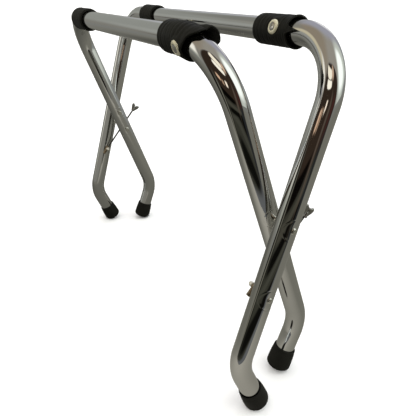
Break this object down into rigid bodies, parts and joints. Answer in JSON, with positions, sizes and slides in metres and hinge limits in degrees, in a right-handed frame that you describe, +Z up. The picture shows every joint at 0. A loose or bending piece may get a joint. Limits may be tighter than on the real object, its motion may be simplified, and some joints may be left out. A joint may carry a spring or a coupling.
{
  "type": "folding sawhorse",
  "caption": "Low folding X-frame trestle: two bent chrome tube frames crossed on pivot bolts, rubber-sleeved rails, rubber feet and adjustable threaded stays.",
  "frame": {"origin": "on the floor, under the middle of the pivot axis", "axes": "+X along the rails, +Y towards the outer frame's rail, +Z up"},
  "size_m": [0.5966, 0.152, 0.432],
  "materials": {
    "chrome_tube": "polished",
    "black_rubber": "matte",
    "washer_nickel": "satin",
    "zinc_steel": "satin"
  },
  "bodies": {
    "outer_frame": {"anchor_bolt_left": "zinc_steel", "anchor_bolt_right": "zinc_steel", "anchor_dome_nut_left": "zinc_steel", "anchor_dome_nut_right": "zinc_steel", "outer_cup_washer_left": "washer_nickel", "outer_cup_washer_right": "washer_nickel", "outer_foot_tip_left": "black_rubber", "outer_foot_tip_right": "black_rubber", "outer_frame_tube": "chrome_tube", "outer_sleeve_left": "black_rubber", "outer_sleeve_right": "black_rubber", "outer_sleeve_screw_left": "zinc_steel", "outer_sleeve_screw_right": "zinc_steel", "pivot_bolt_left": "zinc_steel", "pivot_bolt_right": "zinc_steel", "pivot_nut_left": "zinc_steel", "pivot_nut_right": "zinc_steel", "pivot_spacer_left": "zinc_steel", "pivot_spacer_right": "zinc_steel"},
    "inner_frame": {"inner_cup_washer_left": "washer_nickel", "inner_cup_washer_right": "washer_nickel", "inner_foot_tip_left": "black_rubber", "inner_foot_tip_right": "black_rubber", "inner_frame_tube": "chrome_tube", "inner_sleeve_left": "black_rubber", "inner_sleeve_right": "black_rubber", "inner_sleeve_screw_left": "zinc_steel", "inner_sleeve_screw_right": "zinc_steel"},
    "stay_right": {"stay_rod_right": "zinc_steel", "rod_end_right": "zinc_steel", "stop_nut_right": "zinc_steel"},
    "guide_right": {"guide_eye_right": "zinc_steel", "guide_nut_right": "zinc_steel"},
    "wing_right": {"wing_nut_right": "zinc_steel"},
    "stay_left": {"stay_rod_left": "zinc_steel", "rod_end_left": "zinc_steel", "stop_nut_left": "zinc_steel"},
    "guide_left": {"guide_eye_left": "zinc_steel", "guide_nut_left": "zinc_steel"},
    "wing_left": {"wing_nut_left": "zinc_steel"}
  },
  "joints": [
    {"name": "fold", "type": "hinge", "parent": "outer_frame", "child": "inner_frame", "pos_m": [0, 0, 0.24178], "axis": [1, 0, 0], "range_deg": [-24.5, 0]},
    {"name": "stay_right_swing", "type": "hinge", "parent": "outer_frame", "child": "stay_right", "pos_m": [0.26645, -0.02534, 0.16548], "axis": [1, 0, 0], "range_deg": [0, 12.6]},
    {"name": "guide_right_swivel", "type": "hinge", "parent": "inner_frame", "child": "guide_right", "pos_m": [0.26645, 0.0116, 0.20686], "axis": [1, 0, 0], "range_deg": [0, 37.1]},
    {"name": "wing_nut_right_spin", "type": "hinge", "parent": "stay_right", "child": "wing_right", "pos_m": [0.26645, 0.03659, 0.23486], "axis": [0, 0.6659, 0.746], "continuous": true},
    {"name": "stay_left_swing", "type": "hinge", "parent": "outer_frame", "child": "stay_left", "pos_m": [-0.26645, -0.02534, 0.16548], "axis": [1, 0, 0], "range_deg": [0, 12.6]},
    {"name": "guide_left_swivel", "type": "hinge", "parent": "inner_frame", "child": "guide_left", "pos_m": [-0.26645, 0.0116, 0.20686], "axis": [1, 0, 0], "range_deg": [0, 37.1]},
    {"name": "wing_nut_left_spin", "type": "hinge", "parent": "stay_left", "child": "wing_left", "pos_m": [-0.26645, 0.03659, 0.23486], "axis": [0, 0.6659, 0.746], "continuous": true}
  ],
  "couplings": [
    {"joint": "stay_right_swing", "follows": "fold", "ratio": -0.51},
    {"joint": "guide_right_swivel", "follows": "fold", "ratio": -1.51},
    {"joint": "stay_left_swing", "follows": "fold", "ratio": -0.51},
    {"joint": "guide_left_swivel", "follows": "fold", "ratio": -1.51}
  ]
}
